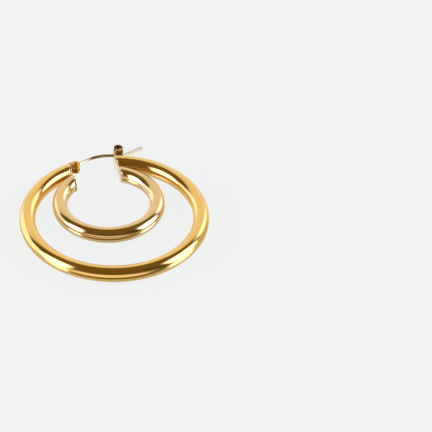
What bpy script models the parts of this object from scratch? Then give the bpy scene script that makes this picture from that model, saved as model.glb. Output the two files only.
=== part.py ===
# Two-tone double hoop earring, lying flat and latched.
# +Z is the axis of the hoops, +Y points to the closure and +X to the catch.
# The floor that the tubes lie on is z = 0, and the origin is the middle of the footprint.

from math import acos, asin, atan2, cos, hypot, pi, radians, sin, sqrt

import bmesh
import bpy
from mathutils import Vector

MM = 0.001

# Hoops: outside diameters, tubes and how close the two tubes come at the end plates
OUTER_HOOP_DIAMETER = 47.7 * MM
OUTER_TUBE_DIAMETER = 4.2 * MM
INNER_HOOP_DIAMETER = 28.4 * MM
INNER_TUBE_DIAMETER = 4.0 * MM
TUBE_WALL = 0.35 * MM
HOOP_SPACING = 0.046 * MM

# End plates, and the spigots that carry the tubes; each face is measured from the middle
HINGE_FACE = 6.15 * MM
CATCH_FACE = 5.5 * MM
HINGE_PLATE_THICKNESS = 0.45 * MM
CATCH_PLATE_THICKNESS = 0.3 * MM
PLATE_INSET = 0.08 * MM
PLATE_WAIST = 0.6  # share of the plate's width that is left between the two tubes
SPIGOT_LENGTH = 1.6 * MM
SEAT_GAP = 0.05 * MM

# Hinge: two ears on the hinge plate, a riveted pin and the eye of the wire
PIN_DIAMETER = 0.7 * MM
PIN_OUTSET = 1.35 * MM
PIN_HEAD_DIAMETER = 1.25 * MM
PIN_HEAD_HEIGHT = 0.35 * MM
PIN_HEAD_FLAT = 0.7 * MM
KNUCKLE_DIAMETER = 2.2 * MM
KNUCKLE_HEIGHT = 2.7 * MM
KNUCKLE_ROUND = 0.32 * MM
EAR_NECK = 1.5 * MM
EYE_DIAMETER = 1.9 * MM
EYE_THICKNESS = 0.72 * MM
EYE_TO_PLATE = 0.7 * MM
PIN_FIT = 0.03 * MM
EYE_FIT = 0.05 * MM

# Ear wire: it rises over the gap, dips into the catch and turns out again at the tip
WIRE_DIAMETER = 0.78 * MM
WIRE_RISE = 2.02 * MM
WIRE_LIFT = 0.329 * MM
WIRE_DIP = 0.5 * MM
WIRE_BEND_RADIUS = 1.2 * MM
WIRE_TIP_LENGTH = 6.8 * MM
WIRE_TIP_ANGLE = radians(19.5)
WIRE_SIDE_PLAY = 0.08 * MM

# Catch: a strip that stands up from its plate, steps out over the tube, is rolled over and
# folded back, and is slit for the wire
CATCH_WIDTH = 2.2 * MM
CATCH_SIDE = 0.6 * MM
CATCH_CORNER = 0.08 * MM
CATCH_STRIP = 0.28 * MM
CATCH_SETBACK = 0.685 * MM
FLAP_INSET = 0.02 * MM
CATCH_LIP_GAP = 0.1 * MM
CATCH_SEAT = 0.35 * MM
CATCH_FLOOR_GAP = 0.06 * MM

# Facets
OUTER_STEPS = 72
OUTER_SIDES = 24
INNER_STEPS = 48
INNER_SIDES = 20
BORE_SIDES = 12
ROUND_SIDES = 24
WIRE_STEPS = 16
BEND_STEPS = 6
DOME_STEPS = 4
ROUND_STEPS = 2
CORNER_STEPS = 4
SHARP_ANGLE = radians(35)
WELD = 0.001 * MM
OVERRUN = 1.0 * MM

# Places that follow from the sizes, seen from the centre of the outer hoop
outer_tube = OUTER_TUBE_DIAMETER / 2
inner_tube = INNER_TUBE_DIAMETER / 2
outer_radius = OUTER_HOOP_DIAMETER / 2 - outer_tube
inner_radius = INNER_HOOP_DIAMETER / 2 - inner_tube
plate_face = {-1: HINGE_FACE, 1: CATCH_FACE}
plate_thickness = {-1: HINGE_PLATE_THICKNESS, 1: CATCH_PLATE_THICKNESS}
tube_end = {side: plate_face[side] + plate_thickness[side] + SEAT_GAP for side in (-1, 1)}


def on_circle(radius, x):
    """Y of the point at x on a circle about the origin, on its +Y side."""
    return sqrt(radius ** 2 - x ** 2)


inner_centre = (
    min(
        on_circle(outer_radius - outer_tube, end) - on_circle(inner_radius + inner_tube, end)
        for end in tube_end.values()
    )
    - HOOP_SPACING
)
plate_half = outer_tube - PLATE_INSET
plate_top = {
    side: on_circle(outer_radius + outer_tube, tube_end[side]) - PLATE_INSET for side in (-1, 1)
}
plate_bottom = {
    side: inner_centre + on_circle(inner_radius - inner_tube, tube_end[side]) + PLATE_INSET
    for side in (-1, 1)
}

pin_x = EYE_DIAMETER / 2 + EYE_TO_PLATE - HINGE_FACE
pin_y = on_circle(outer_radius, tube_end[-1]) + PIN_OUTSET
wire_radius = WIRE_DIAMETER / 2
eye_slot = max(WIRE_DIAMETER, EYE_THICKNESS) + 2 * WIRE_SIDE_PLAY

strip_face = CATCH_FACE + CATCH_SETBACK
step_y = plate_top[1] + PLATE_INSET + SEAT_GAP
catch_radius = CATCH_WIDTH / 2
catch_x = strip_face + catch_radius
seat_x = catch_x + CATCH_SEAT
seat_y = on_circle(outer_radius + outer_tube, seat_x) + WIRE_LIFT + wire_radius
fold_y = seat_y + WIRE_DIP
corner_y = fold_y + CATCH_STRIP + CATCH_CORNER
catch_y = corner_y + CATCH_SIDE


def wire_route():
    """Centreline of the wire from its eye to its tip, seen from the hinge pin.

    One arc spans from the pin to the seat in the catch and rises WIRE_RISE over that chord.
    A small arc of WIRE_BEND_RADIUS turns it out there, and a straight tip follows.
    """
    span_x = seat_x - pin_x
    span_y = seat_y - pin_y
    chord = hypot(span_x, span_y)
    chord_angle = atan2(span_y, span_x)
    radius = chord ** 2 / (8 * WIRE_RISE) + WIRE_RISE / 2
    half_sweep = asin(chord / (2 * radius))
    heading = chord_angle + half_sweep
    centre = Vector((radius * sin(heading), -radius * cos(heading), 0))

    turn = WIRE_TIP_ANGLE - (chord_angle - half_sweep)
    trim = WIRE_BEND_RADIUS * sin(turn / 2) / cos(turn / 2)
    start = (PIN_DIAMETER + EYE_DIAMETER) / 4 / radius
    sweep = 2 * half_sweep - trim / radius
    points = arc(centre, radius, heading + pi / 2 - start, heading + pi / 2 - sweep, WIRE_STEPS)

    heading -= sweep
    bend_centre = points[-1] + WIRE_BEND_RADIUS * Vector((-sin(heading), cos(heading), 0))
    bend = arc(
        bend_centre, WIRE_BEND_RADIUS, heading - pi / 2, WIRE_TIP_ANGLE - pi / 2, BEND_STEPS
    )
    out = Vector((cos(WIRE_TIP_ANGLE), sin(WIRE_TIP_ANGLE), 0))
    end = bend[-1] + out * (WIRE_TIP_LENGTH - trim)
    return points + bend[1:], end, out


def arc(centre, radius, first, last, steps):
    """Points on an arc about a centre, from one angle to the other."""
    angles = [first + (last - first) * i / steps for i in range(steps + 1)]
    return [centre + radius * Vector((cos(a), sin(a), 0)) for a in angles]


# The footprint's middle and the floor place the hoops' centre
wire_points, wire_end, wire_out = wire_route()
tip_edge = pin_y + wire_end.y + wire_radius * (1 - sin(WIRE_TIP_ANGLE))
top_edge = max(tip_edge, catch_y + catch_radius)
hoops_centre = Vector(
    (0, (outer_radius + outer_tube - top_edge) / 2, max(outer_tube, inner_tube))
)


def clear_scene():
    for obj in list(bpy.data.objects):
        bpy.data.objects.remove(obj, do_unlink=True)


def new_collection(name):
    collection = bpy.data.collections.new(name)
    bpy.context.scene.collection.children.link(collection)
    return collection


def metal(name, colour, roughness):
    material = bpy.data.materials.new(name)
    material.use_nodes = True
    shader = material.node_tree.nodes["Principled BSDF"]
    shader.inputs["Base Color"].default_value = (*colour, 1)
    shader.inputs["Metallic"].default_value = 1
    shader.inputs["Roughness"].default_value = roughness
    return material


def move_to(obj, collection):
    for old in list(obj.users_collection):
        old.objects.unlink(obj)
    collection.objects.link(obj)
    obj.parent = frame


def finish_part(obj, material):
    move_to(obj, parts)
    obj.data.materials.append(material)
    obj.data.shade_smooth()
    obj.data.set_sharp_from_angle(angle=SHARP_ANGLE)
    return obj


def as_tool(obj):
    """Mark an object as one that only cuts or fills others."""
    move_to(obj, tools)
    obj.hide_render = True
    obj.display_type = "WIRE"
    return obj


def combine(obj, tool, operation):
    modifier = obj.modifiers.new(f"{operation.lower()} {tool.name}", "BOOLEAN")
    modifier.operation = operation
    modifier.object = tool


def ring(name, radius, tube, steps, sides, centre_y):
    bpy.ops.mesh.primitive_torus_add(
        major_radius=radius,
        minor_radius=tube,
        major_segments=steps,
        minor_segments=sides,
        location=(0, centre_y, 0),
    )
    obj = bpy.context.object
    obj.name = name
    return obj


def block(name, low, high):
    mesh = bpy.data.meshes.new(name)
    bm = bmesh.new()
    bmesh.ops.create_cube(bm, size=1)
    bmesh.ops.scale(bm, vec=Vector(high) - Vector(low), verts=bm.verts)
    bm.to_mesh(mesh)
    bm.free()
    obj = bpy.data.objects.new(name, mesh)
    obj.location = (Vector(high) + Vector(low)) / 2
    return obj


def rounded(obj, width):
    """Soften the sharp edges of a tool before it is used."""
    bevel = obj.modifiers.new("softened edges", "BEVEL")
    bevel.width = width
    bevel.segments = ROUND_STEPS
    bevel.angle_limit = SHARP_ANGLE
    return obj


def disc(name, radius, height, x, y):
    mesh = bpy.data.meshes.new(name)
    bm = bmesh.new()
    bmesh.ops.create_cone(
        bm, cap_ends=True, segments=ROUND_SIDES, radius1=radius, radius2=radius, depth=height
    )
    bm.to_mesh(mesh)
    bm.free()
    obj = bpy.data.objects.new(name, mesh)
    obj.location = (x, y, 0)
    return obj


def mesh_from_curve(curve_object):
    """Swap a curve for the welded mesh of what it evaluates to, in the same place."""
    tools.objects.link(curve_object)
    bpy.context.view_layer.update()
    graph = bpy.context.evaluated_depsgraph_get()
    mesh = bpy.data.meshes.new_from_object(curve_object.evaluated_get(graph))
    bm = bmesh.new()
    bm.from_mesh(mesh)
    bmesh.ops.remove_doubles(bm, verts=bm.verts, dist=WELD)
    bmesh.ops.recalc_face_normals(bm, faces=bm.faces)
    bm.to_mesh(mesh)
    bm.free()
    name = curve_object.name
    place = curve_object.matrix_world.copy()
    bpy.data.objects.remove(curve_object, do_unlink=True)
    obj = bpy.data.objects.new(name, mesh)
    obj.matrix_world = place
    return obj


def sheet(name, outline, thickness):
    """Flat piece: a closed outline in the object's XY plane, half its thickness to each side."""
    curve = bpy.data.curves.new(name, "CURVE")
    curve.dimensions = "2D"
    curve.fill_mode = "BOTH"
    curve.extrude = thickness / 2
    spline = curve.splines.new("POLY")
    spline.points.add(len(outline) - 1)
    for point, (x, y) in zip(spline.points, outline):
        point.co = (x, y, 0, 1)
    spline.use_cyclic_u = True
    return bpy.data.objects.new(name, curve)


def hoop(name, radius, tube, steps, sides, centre_y, material):
    """Hollow tube bent to a circle, cut off square to the ear gap at both end plates."""
    obj = finish_part(ring(name, radius, tube, steps, sides, centre_y), material)
    bore = ring(f"{name}_bore", radius, tube - TUBE_WALL, steps, BORE_SIDES, centre_y)
    combine(obj, as_tool(bore), "DIFFERENCE")
    combine(obj, gap_cutter, "DIFFERENCE")
    return obj


def spigot(name, radius, tube, steps, centre_y, side):
    """Curved plug that starts inside an end plate and fits the bore of a hoop."""
    plug = ring(name, radius, tube - TUBE_WALL - SEAT_GAP, steps, BORE_SIDES, centre_y)
    start = plate_face[side] + plate_thickness[side] / 2
    stop = tube_end[side] + SPIGOT_LENGTH
    window = block(
        f"{name}_window",
        (min(side * start, side * stop), centre_y, -tube),
        (max(side * start, side * stop), centre_y + radius + tube, tube),
    )
    combine(plug, as_tool(window), "INTERSECT")
    return as_tool(plug)


def end_plate(name, side, material):
    """Plate across the ends of both tubes, with a spigot for each.

    Its outline is round over each tube and runs in to a waist between them.
    """
    low = plate_bottom[side] + plate_half
    high = plate_top[side] - plate_half
    turn_in = acos(PLATE_WAIST)
    outline = []
    for centre, first in ((high, 0), (low, pi)):
        for i in range(ROUND_SIDES + 1):
            angle = first - turn_in + (pi + 2 * turn_in) * i / ROUND_SIDES
            outline.append((plate_half * cos(angle), centre + plate_half * sin(angle)))
    curve = sheet(name, outline, plate_thickness[side])
    curve.location = (side * (plate_face[side] + plate_thickness[side] / 2), 0, 0)
    curve.rotation_euler = (0, side * pi / 2, 0)
    plate = finish_part(mesh_from_curve(curve), material)
    for label, radius, tube, steps, centre_y in (
        ("outer", outer_radius, outer_tube, OUTER_STEPS, 0),
        ("inner", inner_radius, inner_tube, INNER_STEPS, inner_centre),
    ):
        plug = spigot(f"{name}_{label}_spigot", radius, tube, steps, centre_y, side)
        combine(plate, plug, "UNION")
    return plate


def hinge_plate(material):
    """End plate whose two ears hold the pin, with the slot for the wire's eye between them."""
    plate = end_plate("hinge_plate", -1, material)
    knuckle = disc("knuckle", KNUCKLE_DIAMETER / 2, KNUCKLE_HEIGHT, pin_x, pin_y)
    neck = block(
        "ear_neck",
        (
            -HINGE_FACE - HINGE_PLATE_THICKNESS / 2,
            pin_y - EAR_NECK / 2,
            -KNUCKLE_HEIGHT / 2 + SEAT_GAP,
        ),
        (pin_x, pin_y + EAR_NECK / 2, KNUCKLE_HEIGHT / 2 - SEAT_GAP),
    )
    slot = block(
        "eye_slot",
        (-HINGE_FACE + SEAT_GAP, pin_y - KNUCKLE_DIAMETER, -eye_slot / 2),
        (pin_x + KNUCKLE_DIAMETER, pin_y + KNUCKLE_DIAMETER, eye_slot / 2),
    )
    hole = disc(
        "pin_hole", PIN_DIAMETER / 2 + PIN_FIT, KNUCKLE_HEIGHT + OVERRUN, pin_x, pin_y
    )
    combine(plate, as_tool(rounded(knuckle, KNUCKLE_ROUND)), "UNION")
    combine(plate, as_tool(rounded(neck, KNUCKLE_ROUND)), "UNION")
    combine(plate, as_tool(slot), "DIFFERENCE")
    combine(plate, as_tool(hole), "DIFFERENCE")
    return plate


def catch_plate(material):
    """End plate with a strip that stands up from it, rolled over and slit for the wire.

    The strip rises as a flap of the plate and steps out over the end of the tube. It goes over
    in a half round, down the far side of the roll, round a corner and straight back to just
    short of where it came up.
    """
    plate = end_plate("catch_plate", 1, material)
    root = plate_top[1] - plate_half
    flap_left = CATCH_FACE + FLAP_INSET
    flap_right = CATCH_FACE + CATCH_PLATE_THICKNESS - FLAP_INSET
    roll = Vector((catch_x, catch_y, 0))
    corner_x = catch_x + catch_radius - CATCH_STRIP - CATCH_CORNER
    corner = Vector((corner_x, corner_y, 0))
    lip = strip_face + CATCH_STRIP + CATCH_LIP_GAP
    outer = arc(roll, catch_radius, pi, 0, ROUND_SIDES)
    outer += arc(corner, CATCH_CORNER + CATCH_STRIP, 0, -pi / 2, CORNER_STEPS)
    inner = arc(roll, catch_radius - CATCH_STRIP, pi, 0, ROUND_SIDES)
    inner += arc(corner, CATCH_CORNER, 0, -pi / 2, CORNER_STEPS)
    edge = [(flap_left, root), (flap_left, step_y + CATCH_STRIP)]
    edge += [(strip_face, step_y + CATCH_STRIP)] + [point.xy for point in outer]
    edge += [(lip, fold_y), (lip, fold_y + CATCH_STRIP)] + [point.xy for point in reversed(inner)]
    edge += [(strip_face + CATCH_STRIP, step_y), (flap_right, step_y), (flap_right, root)]
    strip = mesh_from_curve(sheet("catch_strip", edge, 2 * (plate_half - PLATE_INSET)))
    half_slit = wire_radius + WIRE_SIDE_PLAY
    slit = block(
        "catch_slit",
        (flap_right + SEAT_GAP, seat_y - wire_radius - CATCH_FLOOR_GAP, -half_slit),
        (catch_x + catch_radius + OVERRUN, catch_y + CATCH_WIDTH, half_slit),
    )
    combine(plate, as_tool(strip), "UNION")
    combine(plate, as_tool(slit), "DIFFERENCE")
    return plate


def hinge_pin(material):
    """Rivet through both ears and the eye, with a low head at each end."""
    head = PIN_HEAD_DIAMETER / 2
    flat = PIN_HEAD_FLAT / 2
    shank = PIN_DIAMETER / 2
    face = KNUCKLE_HEIGHT / 2 + PIN_FIT
    rim = face + PIN_HEAD_HEIGHT / 2
    top = face + PIN_HEAD_HEIGHT
    upper = [(0, top), (flat, top), (head, rim), (head, face), (shank, face)]
    profile = upper + [(x, -z) for x, z in reversed(upper)]
    mesh = bpy.data.meshes.new("hinge_pin")
    bm = bmesh.new()
    points = [bm.verts.new((x, 0, z)) for x, z in profile]
    for first, second in zip(points, points[1:]):
        bm.edges.new((first, second))
    bm.to_mesh(mesh)
    bm.free()
    obj = finish_part(bpy.data.objects.new("hinge_pin", mesh), material)
    obj.location = (pin_x, pin_y, 0)
    turn = obj.modifiers.new("turned", "SCREW")
    turn.steps = turn.render_steps = ROUND_SIDES
    turn.use_merge_vertices = True
    turn.merge_threshold = WELD
    return obj


def ear_wire(material):
    """Round wire with a flattened eye on the hinge pin and a domed tip past the catch."""
    curve = bpy.data.curves.new("ear_wire", "CURVE")
    curve.dimensions = "3D"
    curve.bevel_depth = wire_radius
    curve.bevel_resolution = 4
    curve.use_fill_caps = True
    dome = [pi / 2 * i / DOME_STEPS for i in range(DOME_STEPS)]
    route = wire_points + [wire_end - wire_out * wire_radius * (1 - sin(a)) for a in dome]
    widths = [1] * len(wire_points) + [cos(a) for a in dome]
    spline = curve.splines.new("POLY")
    spline.points.add(len(route) - 1)
    for point, place, width in zip(spline.points, route, widths):
        point.co = (*place, 1)
        point.radius = width
    obj = bpy.data.objects.new("ear_wire", curve)
    obj.location = (pin_x, pin_y, 0)
    wire = finish_part(mesh_from_curve(obj), material)
    eye = disc("eye", EYE_DIAMETER / 2, EYE_THICKNESS, pin_x, pin_y)
    hole = disc("eye_hole", PIN_DIAMETER / 2 + EYE_FIT, 2 * WIRE_DIAMETER, pin_x, pin_y)
    combine(wire, as_tool(eye), "UNION")
    combine(wire, as_tool(hole), "DIFFERENCE")
    return wire


clear_scene()
parts = new_collection("hoop_earring")
tools = new_collection("cutters")
frame = bpy.data.objects.new("hoops_centre", None)
frame.location = hoops_centre
frame.empty_display_size = outer_tube
parts.objects.link(frame)

yellow_gold = metal("yellow_gold", (0.86, 0.55, 0.17), 0.12)
pale_gold = metal("pale_gold", (0.84, 0.62, 0.37), 0.12)
fitting_gold = metal("fitting_gold", (0.80, 0.52, 0.20), 0.2)
wire_gold = metal("wire_gold", (0.80, 0.58, 0.28), 0.18)

gap_cutter = as_tool(
    block(
        "gap_cutter",
        (-tube_end[-1], inner_centre, -outer_tube - OVERRUN),
        (tube_end[1], outer_radius + outer_tube + OVERRUN, outer_tube + OVERRUN),
    )
)
hoop("outer_hoop", outer_radius, outer_tube, OUTER_STEPS, OUTER_SIDES, 0, yellow_gold)
hoop("inner_hoop", inner_radius, inner_tube, INNER_STEPS, INNER_SIDES, inner_centre, pale_gold)
hinge_plate(fitting_gold)
catch_plate(fitting_gold)
hinge_pin(fitting_gold)
ear_wire(wire_gold)
bpy.context.view_layer.update()
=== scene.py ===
from math import acos, asin, atan2, cos, hypot, pi, radians, sin, sqrt

import bpy
import numpy as np
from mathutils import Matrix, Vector


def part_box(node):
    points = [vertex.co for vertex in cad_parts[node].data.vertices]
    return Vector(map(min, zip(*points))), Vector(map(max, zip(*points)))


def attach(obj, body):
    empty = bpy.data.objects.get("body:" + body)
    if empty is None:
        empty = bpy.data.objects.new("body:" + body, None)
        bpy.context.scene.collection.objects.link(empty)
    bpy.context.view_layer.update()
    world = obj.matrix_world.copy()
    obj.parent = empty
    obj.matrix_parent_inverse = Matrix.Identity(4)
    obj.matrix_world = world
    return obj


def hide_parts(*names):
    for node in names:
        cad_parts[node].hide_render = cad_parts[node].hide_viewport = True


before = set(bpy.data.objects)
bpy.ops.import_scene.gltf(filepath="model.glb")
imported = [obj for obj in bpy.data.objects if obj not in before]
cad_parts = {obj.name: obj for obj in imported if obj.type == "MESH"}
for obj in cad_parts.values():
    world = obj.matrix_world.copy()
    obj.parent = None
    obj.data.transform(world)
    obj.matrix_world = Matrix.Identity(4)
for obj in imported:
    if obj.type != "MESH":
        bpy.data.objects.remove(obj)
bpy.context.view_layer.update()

# A two-tone double hoop earring in polished gold, latched and lying flat.
# Every shape below is worked out in millimetres from the centre of the hoops:
# x runs to the catch, y to the closure and z up. layPiece turns them to metres in the frame.
mm = 0.001


# What the frame gives

def nodeBox(name):
    # lowest and highest corner of a CAD node, in millimetres from the hoops' centre
    return [(np.array(corner) - hoopsCentre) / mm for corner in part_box(name)]


outerLow, outerHigh = (np.array(corner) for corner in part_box("outer_hoop"))
outerReach = (outerHigh[0] - outerLow[0]) / 2
hoopsCentre = np.array([0, outerLow[1] + outerReach, (outerLow[2] + outerHigh[2]) / 2])

outerTube = (outerHigh[2] - outerLow[2]) / 2 / mm
outerRadius = outerReach / mm - outerTube
innerLow, innerHigh = nodeBox("inner_hoop")
innerTube = (innerHigh[2] - innerLow[2]) / 2
innerRadius = (innerHigh[0] - innerLow[0]) / 2 - innerTube
innerCentre = innerLow[1] + innerRadius + innerTube

catchLow, catchHigh = nodeBox("catch_plate")
plateHalf = (catchHigh[2] - catchLow[2]) / 2

pinLow, pinHigh = nodeBox("hinge_pin")
pinX, pinY = ((pinLow + pinHigh) / 2)[:2]
headRadius = (pinHigh[0] - pinLow[0]) / 2
headTop = pinHigh[2]

wireLow, wireHigh = nodeBox("ear_wire")
wireRadius = wireHigh[2]
eyeRadius = pinX - wireLow[0]

print("frame: outer hoop", round(outerRadius, 3), "inner hoop", round(innerRadius, 3))


# Grids to meshes

def placed(x, y, z):
    # points from their coordinates, each spread over the whole grid
    return np.stack(np.broadcast_arrays(x, y, z), -1)


def gridQuads(rows, cols, wrapRows, wrapCols):
    # each quad joins a grid point to its neighbours along the row, across it and down the column
    r = np.arange(rows if wrapRows else rows - 1)[:, None]
    c = np.arange(cols if wrapCols else cols - 1)[None, :]
    nextR, nextC = (r + 1) % rows, (c + 1) % cols
    corners = np.broadcast_arrays(r * cols + c, r * cols + nextC, nextR * cols + nextC, nextR * cols + c)
    return np.stack(corners, -1).reshape(-1, 4)


def gridUv(rows, cols, wrapRows, wrapCols, scale):
    # the corners' places along the rows and columns, in millimetres, running on past the seams
    r = np.arange(rows if wrapRows else rows - 1)[:, None]
    c = np.arange(cols if wrapCols else cols - 1)[None, :]
    along = np.stack(np.broadcast_arrays(r, r, r + 1, r + 1 + 0 * c), -1)
    around = np.stack(np.broadcast_arrays(c, c + 1, c + 1, c + 0 * r), -1)
    return np.stack([along * scale[0] / rows, around * scale[1] / cols], -1).reshape(-1, 2)


def facesOut(points, quads, caps):
    # six times the enclosed volume, as a sum of cross products over the triangles of every face;
    # a negative sum means that the faces point in, so every face is turned over
    tris = [quads[:, [0, 1, 2]], quads[:, [0, 2, 3]]]
    for cap in caps:
        tris.append(np.stack([np.full(len(cap) - 2, cap[0]), cap[1:-1], cap[2:]], -1))
    a, b, c = (points[np.concatenate(tris)[:, i]] for i in range(3))
    return np.einsum("ij,ij->", np.cross(a, b), c) > 0


def layPiece(name, shells, material, body, nodes=(), sharp=35, closed=True):
    # Each shell is (points[rows, cols, 3], wrapRows, wrapCols, capped, uvScale).
    vertices, faces, uvs, start = [], [], [], 0
    for points, wrapRows, wrapCols, capped, uvScale in shells:
        rows, cols = points.shape[:2]
        flat = points.reshape(-1, 3)
        quads = gridQuads(rows, cols, wrapRows, wrapCols)
        uv = gridUv(rows, cols, wrapRows, wrapCols, uvScale).reshape(-1, 4, 2)
        caps = [np.arange(cols)[::-1], np.arange(cols) + (rows - 1) * cols] if capped else []
        if closed and not facesOut(flat, quads, caps):
            quads, uv, caps = quads[:, ::-1], uv[:, ::-1], [cap[::-1] for cap in caps]
        vertices.append(flat)
        faces += (quads + start).tolist() + [(cap + start).tolist() for cap in caps]
        uvs += [uv.reshape(-1, 2)] + [np.zeros((len(cap), 2)) for cap in caps]
        start += len(flat)
    mesh = bpy.data.meshes.new(name)
    mesh.from_pydata(np.concatenate(vertices) * mm + hoopsCentre, [], faces)
    layer = mesh.uv_layers.new(name="surface")
    layer.data.foreach_set("uv", np.concatenate(uvs).ravel())
    mesh.shade_smooth()
    mesh.set_sharp_from_angle(angle=radians(sharp))
    mesh.materials.append(material)
    piece = bpy.data.objects.new(name, mesh)
    bpy.context.scene.collection.objects.link(piece)
    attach(piece, body)
    if nodes:
        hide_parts(*nodes)
    return piece


# Shader tools

def plug(tree, socket, source):
    # links an output, or sets a plain value
    if isinstance(source, bpy.types.NodeSocket):
        tree.links.new(source, socket)
    else:
        socket.default_value = source


def addNode(tree, kind, inputs=(), **settings):
    made = tree.nodes.new(kind)
    for key, value in settings.items():
        setattr(made, key, value)
    for key, source in dict(inputs).items():
        plug(tree, made.inputs[key], source)
    return made


def calc(tree, operation, first, second=0.0):
    return addNode(tree, "ShaderNodeMath", {0: first, 1: second}, operation=operation).outputs[0]


def mixColour(tree, amount, first, second):
    made = addNode(tree, "ShaderNodeMix", data_type="RGBA")
    for key, source in ((0, amount), (6, first), (7, second)):
        plug(tree, made.inputs[key], source)
    return made.outputs[2]


def newGroup(name, takes, gives):
    tree = bpy.data.node_groups.new(name, "ShaderNodeTree")
    for label, kind, value in takes:
        socket = tree.interface.new_socket(label, in_out="INPUT", socket_type="NodeSocket" + kind)
        if value is not None:
            socket.default_value = value
    for label, kind in gives:
        tree.interface.new_socket(label, in_out="OUTPUT", socket_type="NodeSocket" + kind)
    return tree, tree.nodes.new("NodeGroupInput").outputs, tree.nodes.new("NodeGroupOutput").inputs


# Polish: slow waves left by the buffing wheel, fine hairlines along the metal and a thin haze
polishGroup, takes, gives = newGroup(
    "polishedSurface",
    [
        ("Place", "Vector", None),
        ("Along", "Vector", None),
        ("Wave Size", "Float", 300.0),
        ("Wave Depth", "Float", 0.6),
        ("Hairlines", "Float", 0.1),
        ("Smooth", "Float", 0.05),
        ("Haze", "Float", 0.05),
    ],
    [("Height", "Float"), ("Roughness", "Float")],
)
waves = addNode(
    polishGroup, "ShaderNodeTexNoise",
    {"Vector": takes["Place"], "Scale": takes["Wave Size"], "Detail": 1.0, "Roughness": 0.4},
).outputs[0]
stretched = addNode(
    polishGroup, "ShaderNodeVectorMath", {0: takes["Along"], 1: (0.35, 9.0, 1.0)}, operation="MULTIPLY"
).outputs[0]
hairs = addNode(
    polishGroup, "ShaderNodeTexNoise",
    {"Vector": stretched, "Scale": 2.4, "Detail": 4.0, "Roughness": 0.65},
).outputs[0]
smears = addNode(
    polishGroup, "ShaderNodeTexNoise",
    {"Vector": takes["Place"], "Scale": 900.0, "Detail": 3.0, "Roughness": 0.6},
).outputs[0]
height = calc(
    polishGroup, "ADD",
    calc(polishGroup, "MULTIPLY", waves, takes["Wave Depth"]),
    calc(polishGroup, "MULTIPLY", hairs, takes["Hairlines"]),
)
hazy = calc(polishGroup, "MULTIPLY", calc(polishGroup, "MULTIPLY", smears, hairs), takes["Haze"])
plug(polishGroup, gives["Height"], height)
plug(polishGroup, gives["Roughness"], calc(polishGroup, "ADD", takes["Smooth"], hazy))

# Plating tone: the colour drifts a little where the plating is thicker or thinner
toneGroup, takes, gives = newGroup(
    "platingTone",
    [
        ("Place", "Vector", None),
        ("Thick", "Color", (0.9, 0.6, 0.2, 1)),
        ("Thin", "Color", (0.9, 0.7, 0.4, 1)),
        ("Patch Size", "Float", 120.0),
    ],
    [("Color", "Color")],
)
patches = addNode(
    toneGroup, "ShaderNodeTexNoise",
    {"Vector": takes["Place"], "Scale": takes["Patch Size"], "Detail": 3.0, "Roughness": 0.55},
).outputs[0]
share = addNode(toneGroup, "ShaderNodeMapRange", {0: patches, 1: 0.35, 2: 0.65}).outputs[0]
plug(toneGroup, gives["Color"], mixColour(toneGroup, share, takes["Thick"], takes["Thin"]))


def goldFinish(name, look):
    made = bpy.data.materials.new(name)
    made.use_nodes = True
    tree = made.node_tree
    shader = tree.nodes["Principled BSDF"]
    coords = tree.nodes.new("ShaderNodeTexCoord")
    tone = addNode(tree, "ShaderNodeGroup", node_tree=toneGroup)
    polish = addNode(tree, "ShaderNodeGroup", node_tree=polishGroup)
    for group in (tone, polish):
        plug(tree, group.inputs["Place"], coords.outputs["Object"])
    plug(tree, polish.inputs["Along"], coords.outputs["UV"])
    plug(tree, tone.inputs["Thick"], (*look["thick"], 1))
    plug(tree, tone.inputs["Thin"], (*look["thin"], 1))
    plug(tree, tone.inputs["Patch Size"], look["patchSize"])
    plug(tree, polish.inputs["Wave Size"], look["waveSize"])
    plug(tree, polish.inputs["Wave Depth"], look["waveDepth"])
    plug(tree, polish.inputs["Hairlines"], look["hairlines"])
    plug(tree, polish.inputs["Smooth"], look["smooth"])
    plug(tree, polish.inputs["Haze"], look["haze"])
    bump = addNode(tree, "ShaderNodeBump", {"Height": polish.outputs["Height"], "Strength": 1.0})
    bump.inputs["Distance"].default_value = look["bumpDepth"] * mm
    colour, rough = tone.outputs["Color"], polish.outputs["Roughness"]
    if "paintedHighlightTone" in look:
        # further than the given distance either way from the given middle, measured along the metal,
        # the wire turns pale and duller, and the pale colour is a painted highlight; it gets so over the
        # given fade in millimetres
        along = addNode(tree, "ShaderNodeSeparateXYZ", {0: coords.outputs["UV"]}).outputs[0]
        off = calc(tree, "ABSOLUTE", calc(tree, "SUBTRACT", along, look["paintedShadeMiddle"]))
        start, end = look["paintedHighlightFrom"], look["paintedHighlightFrom"] + look["paintedHighlightFade"]
        paintedHighlight = addNode(tree, "ShaderNodeMapRange", {0: off, 1: start, 2: end}).outputs[0]
        colour = mixColour(tree, paintedHighlight, colour, (*look["paintedHighlightTone"], 1))
        rough = calc(tree, "ADD", rough, calc(tree, "MULTIPLY", paintedHighlight, look["paintedHighlightRough"]))
    plug(tree, shader.inputs["Base Color"], colour)
    plug(tree, shader.inputs["Roughness"], rough)
    plug(tree, shader.inputs["Normal"], bump.outputs["Normal"])
    shader.inputs["Metallic"].default_value = 1
    shader.inputs["Specular Tint"].default_value = (*look["edge"], 1)
    return made


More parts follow.
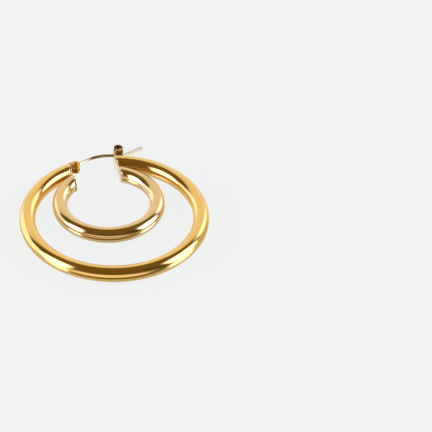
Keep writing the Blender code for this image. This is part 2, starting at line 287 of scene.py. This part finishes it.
yellowGoldLook = {
    "thick": (0.93, 0.61, 0.19),
    "thin": (0.94, 0.645, 0.22),
    "edge": (1.0, 0.97, 0.9),
    "patchSize": 120.0,  # per metre
    "waveSize": 260.0,  # per metre
    "waveDepth": 1.0,
    "hairlines": 0.015,
    "bumpDepth": 0.025,  # mm
    "smooth": 0.075,
    "haze": 0.12,
}
paleGoldLook = yellowGoldLook | {
    "thick": (0.84, 0.59, 0.28),
    "thin": (0.86, 0.63, 0.32),
}
fittingGoldLook = yellowGoldLook | {
    "thick": (0.94, 0.62, 0.26),
    "thin": (0.95, 0.68, 0.34),
    "waveSize": 900.0,
    "waveDepth": 0.6,
    "smooth": 0.09,
    "haze": 0.25,
}
# end plates and the catch's flap: the paler, creamier gold is a painted highlight, for faces seen at a
# grazing angle
plateGoldPaintedHighlightLook = fittingGoldLook | {
    "thick": (0.88, 0.72, 0.44),
    "thin": (0.92, 0.78, 0.52),
    "smooth": 0.06,
}
# hinge ears, rivet and the wire's eye: the darker orange-brown gold is painted shade
hingeGoldPaintedShadeLook = fittingGoldLook | {
    "thick": (0.60, 0.30, 0.05),
    "thin": (0.78, 0.44, 0.10),
    "edge": (1.0, 0.75, 0.42),
    "patchSize": 900.0,
    "smooth": 0.14,
}
# catch roll: the gold darkened to a deep brown is painted shade, for the dark reflections in its curl
catchGoldPaintedShadeLook = fittingGoldLook | {
    "thick": (0.22, 0.125, 0.03),
    "thin": (0.31, 0.19, 0.06),
    "edge": (0.36, 0.23, 0.09),
    "patchSize": 700.0,
    "smooth": 0.26,
}
# ear wire: its darker tone is painted shade, and the pale tone near the eye and towards the tip is a
# painted highlight
wireGoldPaintedShadeAndHighlightLook = fittingGoldLook | {
    "thick": (0.46, 0.34, 0.17),
    "thin": (0.54, 0.41, 0.22),
    "smooth": 0.08,
    "haze": 0.12,
    "paintedHighlightTone": (0.90, 0.80, 0.58),
    "paintedHighlightRough": 0.3,
    "paintedShadeMiddle": 9.6,  # mm from the eye
    "paintedHighlightFrom": 4.0,  # mm
    "paintedHighlightFade": 1.2,  # mm
}
# bead on the catch's folded edge: the pale cream gold is a painted highlight
rimGoldPaintedHighlightLook = plateGoldPaintedHighlightLook | {
    "thick": (0.95, 0.80, 0.52),
    "thin": (0.97, 0.85, 0.60),
    "smooth": 0.36,
}

yellowGold = goldFinish("yellowGold", yellowGoldLook)
paleGold = goldFinish("paleGold", paleGoldLook)
fittingGold = goldFinish("fittingGold", fittingGoldLook)
plateGoldPaintedHighlight = goldFinish("plateGoldPaintedHighlight", plateGoldPaintedHighlightLook)
hingeGoldPaintedShade = goldFinish("hingeGoldPaintedShade", hingeGoldPaintedShadeLook)
catchGoldPaintedShade = goldFinish("catchGoldPaintedShade", catchGoldPaintedShadeLook)
rimGoldPaintedHighlight = goldFinish("rimGoldPaintedHighlight", rimGoldPaintedHighlightLook)
wireGoldPaintedShadeAndHighlight = goldFinish("wireGoldPaintedShadeAndHighlight", wireGoldPaintedShadeAndHighlightLook)
print("finishes: eight golds")


# Hoops and what closes them

plates = {
    "thickness": {-1: 0.45, 1: 0.3},  # hinge side and catch side
    "hingeGap": 0.7,  # from the wire's eye back to the hinge plate
    "seatGap": 0.05,  # between a plate and the tube that it closes
    "inset": 0.08,  # how far the plate's outline lies inside the tubes
    "waist": 0.6,  # share of the width that is left between the two tubes
    "edgeRound": 0.07,
    "spigotLength": 1.6,
    "sides": 56,  # points on each round of the outline
}
gapFace = {-1: eyeRadius + plates["hingeGap"] - pinX, 1: catchLow[0]}
tubeEnd = {side: gapFace[side] + plates["thickness"][side] + plates["seatGap"] for side in (-1, 1)}
plateTop = {side: sqrt((outerRadius + outerTube) ** 2 - end ** 2) - plates["inset"]
            for side, end in tubeEnd.items()}
plateBottom = {side: innerCentre + sqrt((innerRadius - innerTube) ** 2 - end ** 2) + plates["inset"]
               for side, end in tubeEnd.items()}

solder = {
    "below": 0.07,  # how far the bead starts inside the tube's surface, and inside the plate
    "bulge": 0.045,
    "run": 0.09,  # its width along the tube
    "depth": 0.3,  # how deep it reaches into the joint
    "reach": 0.02,  # how far its inner ring laps the tube's end
}
outerHoop = {"wall": 0.35, "endRound": 0.05, "steps": 360, "sides": 84, "boreSteps": 60}
innerHoop = {"wall": 0.35, "endRound": 0.05, "steps": 260, "sides": 76, "boreSteps": 48}


def hoopPoints(radius, centreY, tube, theta, fromEnd, fraction):
    # A point on a bent tube. Its distance from the hoops' axis is the bend radius plus tube times
    # the cosine of theta. The bend angle starts where that distance meets the catch plate's plane,
    # and goes fraction of the way round to the hinge plate's, plus fromEnd millimetres.
    reach = radius + tube * np.cos(theta)
    first, last = np.arcsin(tubeEnd[1] / reach), 2 * pi - np.arcsin(tubeEnd[-1] / reach)
    bend = first + fraction * (last - first) + fromEnd / reach
    return placed(reach * np.sin(bend), centreY + reach * np.cos(bend), tube * np.sin(theta))


def quarterRound(size, steps=3):
    # how far a rounded corner lies inside each of its two faces, from one face to the other
    turn = np.linspace(0, pi / 2, steps + 1)
    return size * (1 - np.sin(turn)), size * (1 - np.cos(turn))


def hoopTube(radius, centreY, tube, look):
    # outside from end to end with softened rims, then back along the bore: one closed wall
    inset, run = quarterRound(look["endRound"])
    count, boreCount = look["steps"], look["boreSteps"]
    middle = np.linspace(0, 1, count + 1)[1:-1]
    zeros, ones = np.zeros(len(inset)), np.ones(len(inset))
    rho = np.concatenate([tube - inset, np.full(len(middle), tube), (tube - inset)[::-1],
                          np.full(boreCount + 1, tube - look["wall"])])
    fraction = np.concatenate([zeros, middle, ones, np.linspace(1, 0, boreCount + 1)])
    fromEnd = np.concatenate([run, 0 * middle, -run[::-1], np.zeros(boreCount + 1)])
    theta = np.linspace(0, 2 * pi, look["sides"], endpoint=False)
    points = hoopPoints(radius, centreY, rho[:, None], theta[None, :],
                        fromEnd[:, None], fraction[:, None])
    return points, True, True, False, (2 * pi * radius, 2 * pi * tube)


layPiece("outerHoop", [hoopTube(outerRadius, 0, outerTube, outerHoop)], yellowGold,
         "hoops", ["outer_hoop"])
layPiece("innerHoop", [hoopTube(innerRadius, innerCentre, innerTube, innerHoop)], paleGold,
         "hoops", ["inner_hoop"])
print("hoops: hollow tubes cut off at", round(tubeEnd[-1], 2), "and", round(tubeEnd[1], 2), "mm")


def waistedOutline(low, high, half, inset, sides):
    # outline of a plate that is round over each tube: arcs about two centres, moved in by inset,
    # each going past its half circle until the outline is as narrow as the waist
    past = acos(plates["waist"])
    turn = np.linspace(-past, pi + past, sides)
    angle = np.concatenate([turn, turn + pi])
    centre = np.concatenate([np.full(sides, high), np.full(sides, low)])
    return centre + (half - inset) * np.sin(angle), (half - inset) * np.cos(angle)


def endPlate(side):
    # the outline carried over a softened edge, from one face to the other, and flat faces
    inset, depth = quarterRound(plates["edgeRound"], 4)
    hold = plates["edgeRound"] * 2
    insets = np.concatenate([[hold], inset[::-1], inset, [hold]])[:, None]
    thick = plates["thickness"][side]
    depths = np.concatenate([[0], depth[::-1], thick - depth, [thick]])
    low, high = plateBottom[side] + plateHalf, plateTop[side] - plateHalf
    y, z = waistedOutline(low, high, plateHalf, insets, plates["sides"])
    return placed(side * (gapFace[side] + depths[:, None]), y, z), False, True, True, (1, 1)


def spigot(side, radius, centreY, tube, wall):
    # the same bent tube, thinner and solid, from inside the plate into the hoop's bore
    stations = np.linspace(-plates["thickness"][side], plates["spigotLength"], 12)[:, None]
    theta = np.linspace(0, 2 * pi, 32, endpoint=False)[None, :]
    points = hoopPoints(radius, centreY, tube - wall - plates["seatGap"], theta, side * stations,
                        (1 - side) / 2)
    return points, False, True, True, (1, 1)


def solderSeam(side, radius, centreY, tube):
    # thin bead of solder between plate and tube: the tube's outline, a little smaller, bulging
    # between the two, and closed off on a smaller ring inside
    below, depth = solder["below"], solder["depth"]
    bulge = np.linspace(0, pi, 7)
    rho = np.concatenate([tube - below + solder["bulge"] * np.sin(bulge), [tube - depth, tube - depth]])
    run = np.concatenate([-below + solder["run"] * bulge / pi, [solder["reach"], -below]])
    rho, run = rho[:, None], run[:, None]
    theta = np.linspace(0, 2 * pi, 60, endpoint=False)[None, :]
    points = hoopPoints(radius, centreY, rho, theta, side * run, (1 - side) / 2)
    return points, True, True, False, (1, 1)


for side, name, node in ((-1, "hingePlate", "hinge_plate"), (1, "catchPlate", "catch_plate")):
    layPiece(name, [
        endPlate(side),
        spigot(side, outerRadius, 0, outerTube, outerHoop["wall"]),
        spigot(side, innerRadius, innerCentre, innerTube, innerHoop["wall"]),
    ], plateGoldPaintedHighlight, "hoops", [node])
    layPiece(name + "Solder", [
        solderSeam(side, outerRadius, 0, outerTube),
        solderSeam(side, innerRadius, innerCentre, innerTube),
    ], fittingGold, "hoops", [])
print("end plates: two, with spigots and solder seams")


# Hinge

hinge = {
    "knuckleRadius": 1.1,
    "height": 2.7,
    "slot": 0.94,  # room for the eye between the ears
    "neckHalf": 0.75,  # where the ears stand on the plate
    "holeRadius": 0.38,
    "edgeRound": 0.4,  # the ears' outer faces are buffed to a cushion
    "slotRound": 0.1,
    "holeRound": 0.05,
    "neckSquareness": 10,
    "join": 12,  # higher makes the corner between knuckle and neck sharper
    "least": 0.3,  # the neck's reach on the side away from the plate
    "sides": 96,
}
pin = {
    "shankRadius": 0.35,
    "headGap": 0.03,  # between an ear and the rivet's head
    "rim": 0.02,  # upright edge of the head, under its dome
    "domeStart": 86,  # degrees round from the rim
    "domeFullness": 0.8,  # under 1 makes the dome flatter on top
    "sides": 48,
}


def hingeEar(side):
    # Outline about the pin: a round knuckle, joined smoothly to a squarish neck that reaches into
    # the plate. Both are distances from the pin at an angle; the larger counts, and the sum of
    # their high powers blends them.
    square, join = hinge["neckSquareness"], hinge["join"]
    angle = np.linspace(0, 2 * pi, hinge["sides"], endpoint=False)[None, :]
    reachX = pinX + gapFace[-1] + plates["thickness"][-1] / 2
    across, up = np.abs(np.cos(angle)) / reachX, np.abs(np.sin(angle)) / hinge["neckHalf"]
    neck = (across ** square + up ** square) ** (-1 / square)
    neck = np.where(np.cos(angle) < 0, neck, hinge["least"])
    outline = (hinge["knuckleRadius"] ** join + neck ** join) ** (1 / join)
    inset, depth = quarterRound(hinge["edgeRound"], 8)
    slotInset, slotDepth = quarterRound(hinge["slotRound"], 3)
    holeInset, holeDepth = quarterRound(hinge["holeRound"], 2)
    thick = (hinge["height"] - hinge["slot"]) / 2
    hole = hinge["holeRadius"]
    reach = np.concatenate([
        outline - slotInset[:, None], outline - inset[::-1, None],
        hole + holeInset[:, None] + 0 * outline, hole + holeInset[::-1, None] + 0 * outline,
    ])
    up = np.concatenate([slotDepth, thick - depth[::-1], thick - holeDepth, holeDepth[::-1]])[:, None]
    z = side * (hinge["slot"] / 2 + up)
    return placed(pinX + reach * np.cos(angle), pinY + reach * np.sin(angle), z)


def rivet():
    # profile turned about the pin: a low dome, the head's rim, the shank and the same again
    dome = np.linspace(radians(pin["domeStart"]), 0, 10)
    face = hinge["height"] / 2 + pin["headGap"]
    rim = face + pin["rim"]
    headRadii = headRadius * np.cos(dome) ** pin["domeFullness"]
    radii = np.concatenate([headRadii, [headRadius, pin["shankRadius"]]])
    heights = np.concatenate([rim + (headTop - rim) * np.sin(dome), [face, face]])
    radii = np.concatenate([radii, radii[::-1]])[:, None]
    heights = np.concatenate([heights, -heights[::-1]])[:, None]
    turn = np.linspace(0, 2 * pi, pin["sides"], endpoint=False)[None, :]
    return placed(pinX + radii * np.cos(turn), pinY + radii * np.sin(turn), heights)


layPiece("hingeEars", [(hingeEar(side), True, True, False, (1, 1)) for side in (-1, 1)],
         hingeGoldPaintedShade, "hoops", ["hinge_plate"], sharp=50)
layPiece("hingePin", [(rivet(), False, True, True, (1, 1))], hingeGoldPaintedShade,
         "hoops", ["hinge_pin"], sharp=50)
print("hinge: two ears and a rivet")


# Catch

catch = {
    "width": 2.2,
    "strip": 0.2,
    "side": 0.6,  # straight side between the half round and the corner
    "corner": 0.16,  # inside radius
    "lipGap": 0.1,
    "seat": 0.35,  # how far past the roll's middle the wire rests
    "slitPlay": 0.08,
    "edgeRound": 0.07,
    "bead": 0.19,  # radius of the polished bead along the folded edge
    "beadFrom": 0.04,  # from the strip's standing face to the bead's end
    "beadTo": 0.02,  # from the bead's other end to the roll's far side
    "beadInset": 0.01,
    "beadBlunt": 0.4,  # nearer 0 makes the bead's ends blunter
    "rollSteps": 40,
}
earWire = {
    "rise": 2.02,
    "lift": 0.329,  # from the tube up to the wire, at the catch
    "bendRadius": 1.2,
    "tipLength": 6.8,
    "tipAngle": 19.5,  # degrees
    "eyeThickness": 0.72,
    "eyeHole": 0.4,
    "eyeRound": 0.14,
    "holeRound": 0.05,
    "flare": 0.3,  # how much wider the wire gets where it meets its eye
    "flareLength": 0.55,
    "flareInset": 0.02,  # how much thinner than the eye it ends
    "startInEye": 0.25,  # how far inside the eye's edge it starts
    "domeEnd": 84,  # degrees round the tip's dome that are meshed before it is closed flat
    "sides": 40,
}
catchRadius = catch["width"] / 2
catchX, catchY = catchHigh[0] - catchRadius, catchHigh[1] - catchRadius
stripFace = catchX - catchRadius
seatX = catchX + catch["seat"]
seatY = sqrt((outerRadius + outerTube) ** 2 - seatX ** 2) + earWire["lift"] + wireRadius


def catchSheet():
    # The middle of the strip's thickness: up the plate, out over the tube's end, straight up to the
    # height of the roll's centre, half round that centre, down the far side, round a corner and
    # straight back. The columns run across it, and the slit is left out of the grid past the flap.
    strip, corner = catch["strip"], catch["corner"]
    half = catchRadius - strip / 2
    flapX = gapFace[1] + plates["thickness"][1] / 2
    stepY = plateTop[1] + plates["inset"] + plates["seatGap"] + strip / 2
    cornerX, cornerY = catchX + catchRadius - strip - corner, catchY - catch["side"]
    flap = np.linspace(plateTop[1] - plateHalf, stepY, 8)
    step = np.linspace(flapX, stripFace + strip / 2, 5)[1:]
    straight = np.linspace(stepY, catchY, 9)[1:]
    turn = np.linspace(pi, 0, catch["rollSteps"] + 1)[1:]
    down = np.linspace(catchY, cornerY, 5)[1:]
    fold = np.linspace(0, -pi / 2, 9)[1:]
    back = np.linspace(cornerX, stripFace + strip + catch["lipGap"], 10)[1:]
    x = np.concatenate([0 * flap + flapX, step, 0 * straight + step[-1],
                        catchX + half * np.cos(turn), 0 * down + catchX + half,
                        cornerX + (corner + strip / 2) * np.cos(fold), back])
    y = np.concatenate([flap, 0 * step + stepY, straight, catchY + half * np.sin(turn), down,
                        cornerY + (corner + strip / 2) * np.sin(fold),
                        0 * back + cornerY - corner - strip / 2])
    wide = plateHalf - plates["inset"]
    slit = wireRadius + catch["slitPlay"]
    z = np.concatenate([np.linspace(-wide, -slit, 6), [0], np.linspace(slit, wide, 6)])
    return x, y, z, len(flap), len(flap) + len(step)


def layCatch():
    x, y, z, flapEnd, stepEnd = catchSheet()
    rows, cols = len(x), len(z)
    points = placed(x[:, None], y[:, None], z[None, :])
    quads = gridQuads(rows, cols, False, False)
    row, col = np.divmod(np.arange(len(quads)), cols - 1)
    solid = (row < flapEnd) | (col < 5) | (col > 6)
    kept = quads[solid]
    mesh = bpy.data.meshes.new("catchRoll")
    mesh.from_pydata(points.reshape(-1, 3) * mm + hoopsCentre, [], kept.tolist())
    mesh.uv_layers.new(name="surface")
    mesh.shade_smooth()
    # the roll takes the darkened gold, which is painted shade; the flap and step take the paler gold,
    # which is a painted highlight
    for finish in (catchGoldPaintedShade, plateGoldPaintedHighlight):
        mesh.materials.append(finish)
    mesh.polygons.foreach_set("material_index", (row[solid] < stepEnd).astype(np.int32))
    piece = bpy.data.objects.new("catchRoll", mesh)
    bpy.context.scene.collection.objects.link(piece)
    wall = piece.modifiers.new("wall", "SOLIDIFY")
    wall.thickness, wall.offset, wall.use_even_offset = catch["strip"] * mm, 0, True
    edges = piece.modifiers.new("edges", "BEVEL")
    edges.width, edges.segments = catch["edgeRound"] * mm, 3
    edges.limit_method, edges.angle_limit = "ANGLE", radians(50)
    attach(piece, "hoops")
    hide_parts("catch_plate")
    return piece


def catchRim(side):
    # polished bead along the near edge of the folded strip: a rod with round ends
    run = np.linspace(0, pi, 25)
    first, last = stripFace + catch["beadFrom"], catchX + catchRadius - catch["beadTo"]
    middle, half = (first + last) / 2, (last - first) / 2
    bead = catch["bead"] * np.sin(run) ** catch["beadBlunt"]
    turn = np.linspace(0, 2 * pi, 16, endpoint=False)[None, :]
    nearY = catchY - catch["side"] - catch["corner"] - catch["strip"] / 2
    y = nearY + bead[:, None] * np.cos(turn)
    z = side * (plateHalf - catch["bead"] - catch["beadInset"]) + bead[:, None] * np.sin(turn)
    return placed((middle - half * np.cos(run))[:, None], y, z), False, True, True, (1, 1)


layCatch()
layPiece("catchRims", [catchRim(side) for side in (-1, 1)], rimGoldPaintedHighlight,
         "hoops", ["catch_plate"])
print("catch: a slit strip rolled over at", round(catchX, 2), round(catchY, 2))


# Ear wire

def wirePath():
    # One arc spans from the pin to the seat in the catch and rises by the given rise over that
    # chord. A small arc turns it out there, and a straight tip follows. Returns the centre line
    # as points with the heading at each of them.
    spanX, spanY = seatX - pinX, seatY - pinY
    chord, chordAngle = hypot(spanX, spanY), atan2(spanY, spanX)
    radius = chord ** 2 / (8 * earWire["rise"]) + earWire["rise"] / 2
    halfSweep = asin(chord / (2 * radius))
    tip = radians(earWire["tipAngle"])
    trim = earWire["bendRadius"] * np.tan((tip - chordAngle + halfSweep) / 2)
    first = (eyeRadius - earWire["startInEye"]) / radius
    heading = chordAngle + halfSweep - np.linspace(first, 2 * halfSweep - trim / radius, 90)
    headUp = chordAngle + halfSweep
    x = pinX + radius * (sin(headUp) - np.sin(heading))
    y = pinY + radius * (np.cos(heading) - cos(headUp))
    bend = np.linspace(heading[-1], tip, 14)
    bx = x[-1] + earWire["bendRadius"] * (np.sin(bend) - sin(bend[0]))
    by = y[-1] - earWire["bendRadius"] * (np.cos(bend) - cos(bend[0]))
    run = earWire["tipLength"] - trim
    dome = np.linspace(0, radians(earWire["domeEnd"]), 9)
    straight = np.linspace(0, run - wireRadius, 20)[1:]
    along = np.concatenate([straight, run - wireRadius * (1 - np.sin(dome[1:]))])
    tx, ty = bx[-1] + along * cos(tip), by[-1] + along * sin(tip)
    px, py = np.concatenate([x, bx[1:], tx]), np.concatenate([y, by[1:], ty])
    angles = np.concatenate([heading, bend[1:], np.full(len(along), tip)])
    width = np.ones(len(px))
    width[-8:] = np.cos(dome[1:])
    return px, py, angles, width


def wireSurface():
    # A circle carried along the centre line. Near the eye it grows wider in the hoops' plane and
    # a little flatter across it; at the tip it closes in a dome.
    x, y, heading, width = wirePath()
    steps = np.hypot(np.diff(x, prepend=x[0]), np.diff(y, prepend=y[0])).cumsum()
    near = np.exp(-(steps / earWire["flareLength"]) ** 2)
    turn = np.linspace(0, 2 * pi, earWire["sides"], endpoint=False)[None, :]
    half = (wireRadius * width + earWire["flare"] * near)[:, None]
    thinner = wireRadius - earWire["eyeThickness"] / 2 + earWire["flareInset"]
    flat = (wireRadius * width - thinner * near)[:, None]
    out = half * np.cos(turn)
    points = placed(
        x[:, None] - np.sin(heading)[:, None] * out,
        y[:, None] + np.cos(heading)[:, None] * out,
        flat * np.sin(turn),
    )
    return points, False, True, True, (steps[-1], 2 * pi * wireRadius)


def wireEye():
    # a flat ring about the pin with softened rims: the corner rounds of the outside, then the hole
    inset, depth = quarterRound(earWire["eyeRound"], 5)
    holeInset, holeDepth = quarterRound(earWire["holeRound"], 2)
    half = earWire["eyeThickness"] / 2
    radii = np.concatenate([
        eyeRadius - inset, eyeRadius - inset[::-1],
        earWire["eyeHole"] + holeInset, earWire["eyeHole"] + holeInset[::-1]])[:, None]
    z = np.concatenate([
        -half + depth, half - depth[::-1], half - holeDepth, -half + holeDepth[::-1]])[:, None]
    turn = np.linspace(0, 2 * pi, 72, endpoint=False)[None, :]
    return placed(pinX + radii * np.cos(turn), pinY + radii * np.sin(turn), z)


layPiece("earWire", [wireSurface()], wireGoldPaintedShadeAndHighlight, "wire", ["ear_wire"], sharp=50)
layPiece("wireEye", [(wireEye(), True, True, False, (1, 1))], hingeGoldPaintedShade,
         "wire", ["ear_wire"], sharp=50)
print("ear wire: arched over the gap, with its eye on the pin")


# Studio

studio = {
    "turn": 14.75,  # degrees from +y to the far side of the camera, towards the catch
    "paper": (0.897, 0.915, 0.906),  # the page's flat tone
    "shadow": 0.08,  # how much of the floor's own shading the camera sees
    "ceilingTop": (0.18, 0.116, 0.028),
    "ceilingLow": (0.14, 0.095, 0.03),
    "table": (0.665, 0.655, 0.655),  # the lit white table, as the metal sees it from close by
    "floorTone": (0.86, 0.86, 0.85),
    "floorHalf": 1.5,  # metres
    "floorDrop": 0.02,  # mm
}
# For each light: azimuth and elevation of its middle, half width and half height in degrees,
# soft edge as a share of its size, squareness, and colour. Later ones cover earlier ones.
softboxes = {
    "nearTable": (150, -76, 80, 15, 0.20, 2.8, (0.56, 0.54, 0.44)),
    "darkBehind": (179, -31, 58, 17, 0.45, 3.5, (0.20, 0.13, 0.02)),
    "rightCorner": (131, 14, 12, 36, 0.30, 3.3, (0.08, 0.06, 0.01)),
    "bandBehind": (188, 1, 47, 18, 0.45, 2.5, (1.03, 0.95, 0.88)),
    "rightWall": (52, -1, 18, 28, 0.15, 2.3, (0.60, 0.53, 0.39)),
    "backdrop": (-3, 16, 55, 40, 0.14, 2.3, (0.89, 0.82, 0.67)),
    "backdropFoot": (1, -11, 35, 38, 0.45, 3.4, (0.90, 0.95, 1.15)),
    "tableGlare": (-12, -42, 18, 9, 0.30, 2.2, (1.15, 1.18, 1.08)),
    "rightGlow": (47, 24, 14, 16, 0.28, 3.2, (1.50, 1.60, 2.2)),
    "leftGlow": (-62, 7, 27, 23, 0.24, 4.5, (1.25, 1.40, 1.80)),
    "leftMirrored": (-113, -18, 14, 22, 0.30, 2.5, (2.0, 1.9, 2.5)),
    "rightMirrored": (98, -20, 17, 19, 0.19, 3.1, (1.9, 2.2, 2.8)),
    "leftBox": (-108, 22, 20, 28, 0.22, 2.7, (2.9, 3.0, 3.9)),
    "rightBox": (93, 26, 22, 23, 0.22, 3.2, (2.9, 3.0, 3.9)),
    "leftFlag": (-67, 39, 9, 13, 0.45, 2.0, (0.10, 0.08, 0.02)),
}

softboxGroup, takes, gives = newGroup(
    "softboxMask",
    [
        ("Direction", "Vector", None),
        ("Azimuth", "Float", 0.0),
        ("Elevation", "Float", 0.0),
        ("Half Width", "Float", 0.4),
        ("Half Height", "Float", 0.4),
        ("Soft Edge", "Float", 0.2),
        ("Squareness", "Float", 2.0),
    ],
    [("Mask", "Float")],
)
turned = addNode(
    softboxGroup, "ShaderNodeVectorRotate",
    {"Vector": takes["Direction"], "Angle": takes["Azimuth"]}, rotation_type="Z_AXIS",
).outputs[0]
axes = addNode(softboxGroup, "ShaderNodeSeparateXYZ", {0: turned}).outputs
sideways = calc(softboxGroup, "ARCTAN2", axes[0], axes[1])
upwards = calc(softboxGroup, "SUBTRACT", calc(softboxGroup, "ARCSINE", axes[2]), takes["Elevation"])
shares = [
    calc(softboxGroup, "POWER",
         calc(softboxGroup, "ABSOLUTE", calc(softboxGroup, "DIVIDE", off, takes[half])),
         takes["Squareness"])
    for off, half in ((sideways, "Half Width"), (upwards, "Half Height"))
]
distance = calc(
    softboxGroup, "POWER", calc(softboxGroup, "ADD", *shares),
    calc(softboxGroup, "DIVIDE", 1.0, takes["Squareness"]),
)
edge = addNode(
    softboxGroup, "ShaderNodeMapRange",
    {
        0: distance,
        1: calc(softboxGroup, "SUBTRACT", 1.0, takes["Soft Edge"]),
        2: calc(softboxGroup, "ADD", 1.0, takes["Soft Edge"]),
        3: 1.0, 4: 0.0,
    },
    interpolation_type="SMOOTHSTEP",
).outputs[0]
plug(softboxGroup, gives["Mask"], edge)


def lightRoom():
    # a dark warm room with soft boxes and a pale backdrop in it; the camera sees the plain page
    room = bpy.data.worlds.new("studioRoom")
    room.use_nodes = True
    tree = room.node_tree
    tree.nodes.clear()
    direction = tree.nodes.new("ShaderNodeTexCoord").outputs["Generated"]
    up = addNode(tree, "ShaderNodeSeparateXYZ", {0: direction}).outputs[2]
    overhead = addNode(tree, "ShaderNodeMapRange", {0: up, 1: 0.6, 2: 0.97}).outputs[0]
    below = addNode(tree, "ShaderNodeMapRange", {0: up, 1: 0.03, 2: -0.06}).outputs[0]
    colour = mixColour(tree, overhead, (*studio["ceilingLow"], 1), (*studio["ceilingTop"], 1))
    colour = mixColour(tree, below, colour, (*studio["table"], 1))
    for azimuth, elevation, width, height, soft, square, light in softboxes.values():
        box = addNode(tree, "ShaderNodeGroup", node_tree=softboxGroup)
        for label, value in (
            ("Direction", direction),
            ("Azimuth", radians(azimuth + studio["turn"])),
            ("Elevation", radians(elevation)),
            ("Half Width", radians(width)),
            ("Half Height", radians(height)),
            ("Soft Edge", soft),
            ("Squareness", square),
        ):
            plug(tree, box.inputs[label], value)
        colour = mixColour(tree, box.outputs["Mask"], colour, (*light, 1))
    lit = addNode(tree, "ShaderNodeBackground", {"Color": colour})
    page = addNode(tree, "ShaderNodeBackground", {"Color": (*studio["paper"], 1)})
    seen = tree.nodes.new("ShaderNodeLightPath").outputs["Is Camera Ray"]
    both = addNode(tree, "ShaderNodeMixShader", {0: seen, 1: lit.outputs[0], 2: page.outputs[0]})
    out = tree.nodes.new("ShaderNodeOutputWorld")
    plug(tree, out.inputs["Surface"], both.outputs[0])
    bpy.context.scene.world = room


def layFloor():
    made = bpy.data.materials.new("palePage")
    made.use_nodes = True
    tree = made.node_tree
    tree.nodes.clear()
    paper = addNode(tree, "ShaderNodeBsdfDiffuse", {"Color": (*studio["floorTone"], 1)})
    page = addNode(tree, "ShaderNodeEmission", {"Color": (*studio["paper"], 1), "Strength": 1.0})
    seen = tree.nodes.new("ShaderNodeLightPath").outputs["Is Camera Ray"]
    share = calc(tree, "MULTIPLY", seen, 1 - studio["shadow"])
    both = addNode(tree, "ShaderNodeMixShader", {0: share, 1: paper.outputs[0], 2: page.outputs[0]})
    out = tree.nodes.new("ShaderNodeOutputMaterial")
    plug(tree, out.inputs["Surface"], both.outputs[0])
    half = studio["floorHalf"]
    corners = [(-half, -half, 0), (half, -half, 0), (half, half, 0), (-half, half, 0)]
    mesh = bpy.data.meshes.new("floor")
    mesh.from_pydata(corners, [], [(0, 1, 2, 3)])
    mesh.materials.append(made)
    floor = bpy.data.objects.new("floor", mesh)
    floor.location = (0, 0, -studio["floorDrop"] * mm)
    floor.visible_glossy = False  # the room below the horizon is what the metal mirrors
    bpy.context.scene.collection.objects.link(floor)


lightRoom()
layFloor()
bpy.context.scene.view_settings.view_transform = "Standard"
print("studio: room, soft boxes and floor")


# Camera: far off with a long lens, as the photograph has hardly any perspective

shot = {
    "target": (0.024845, -0.006678, 0.0021),
    "turn": 14.75,
    "height": 39.39,  # degrees above the floor
    "distance": 1.9666,
    "lens": 654.3,
}


def setCamera():
    turn, height = radians(shot["turn"]), radians(shot["height"])
    back = Vector((-sin(turn) * cos(height), -cos(turn) * cos(height), sin(height)))
    data = bpy.data.cameras.new("camera")
    data.lens, data.sensor_width = shot["lens"], 36
    data.clip_end = 2 * shot["distance"]
    camera = bpy.data.objects.new("camera", data)
    camera.rotation_mode = "QUATERNION"
    camera.location = Vector(shot["target"]) + shot["distance"] * back
    camera.rotation_quaternion = (-back).to_track_quat("-Z", "Y")
    bpy.context.scene.collection.objects.link(camera)
    bpy.context.scene.camera = camera


setCamera()
